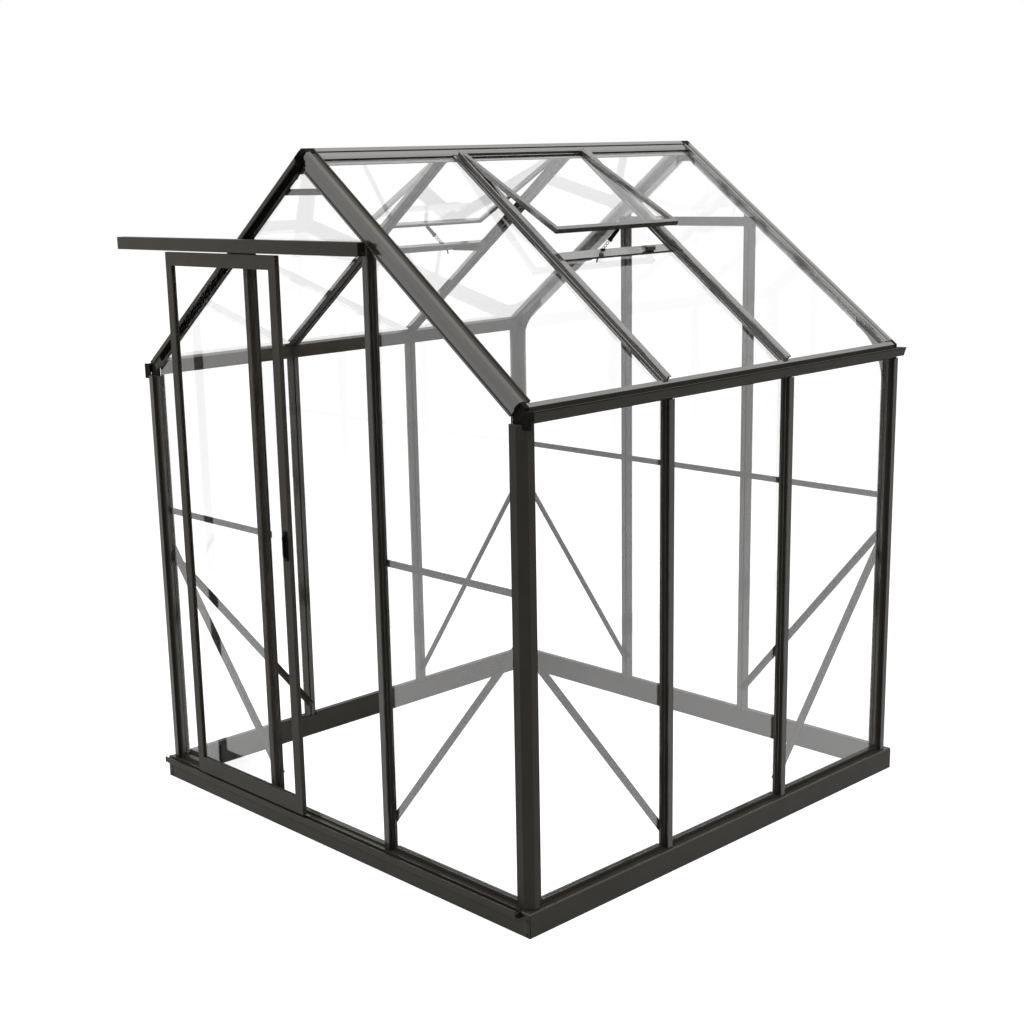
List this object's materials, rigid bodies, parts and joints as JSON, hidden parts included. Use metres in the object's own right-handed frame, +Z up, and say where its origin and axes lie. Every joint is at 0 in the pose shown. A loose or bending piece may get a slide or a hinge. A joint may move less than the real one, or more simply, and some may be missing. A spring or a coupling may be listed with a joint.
{
  "type": "polycarbonate greenhouse",
  "caption": "Walk-in garden greenhouse with a dark coated metal frame, clear sheet glazing, ridge roof with propped vents, rain gutters and a sliding gable door.",
  "frame": {"origin": "centre of the base frame's underside, at ground level", "axes": "+Z up; the ridge runs along Y; the door gable faces -Y; the door slides along X and closes towards +X"},
  "size_m": [2.001, 1.964, 2.312],
  "materials": {
    "coated_frame": "charcoal powder coat, satin",
    "black_plastic": "moulded, slightly satin",
    "clear_sheet": "clear polycarbonate sheet, smooth"
  },
  "bodies": {
    "frame": {"base_frame": "coated_frame", "glazing_sills": "coated_frame", "door_guide_rail": "coated_frame", "corner_posts_front": "coated_frame", "corner_posts_back": "coated_frame", "gable_studs_front": "coated_frame", "gable_studs_back": "coated_frame", "wall_studs_left": "coated_frame", "wall_studs_right": "coated_frame", "eave_rail_left": "coated_frame", "eave_rail_right": "coated_frame", "gutters": "coated_frame", "gutter_ends": "coated_frame", "eave_corner_blocks": "black_plastic", "ridge_bar": "coated_frame", "ridge_end_blocks": "black_plastic", "end_rafters_front": "coated_frame", "end_rafters_back": "coated_frame", "roof_rafters": "coated_frame", "headers": "coated_frame", "door_track": "coated_frame", "cross_bars": "coated_frame", "corner_braces": "coated_frame", "gusset_plates": "coated_frame", "collar_tie": "coated_frame", "gable_panes_front": "clear_sheet", "gable_panes_back": "clear_sheet", "wall_panes_left": "clear_sheet", "wall_panes_right": "clear_sheet", "roof_panes_left": "clear_sheet", "roof_panes_right": "clear_sheet", "vent_frames": "coated_frame", "vent_panes": "clear_sheet", "vent_sills": "coated_frame", "vent_stays": "black_plastic"},
    "door": {"door_stiles": "coated_frame", "door_rails": "coated_frame", "door_pane": "clear_sheet", "door_hanger": "black_plastic", "door_handle": "black_plastic", "door_shoes": "black_plastic"}
  },
  "joints": [
    {"name": "door_slide", "type": "slide", "parent": "frame", "child": "door", "axis": [1, 0, 0], "range_m": [-0.29, 0.41]}
  ]
}
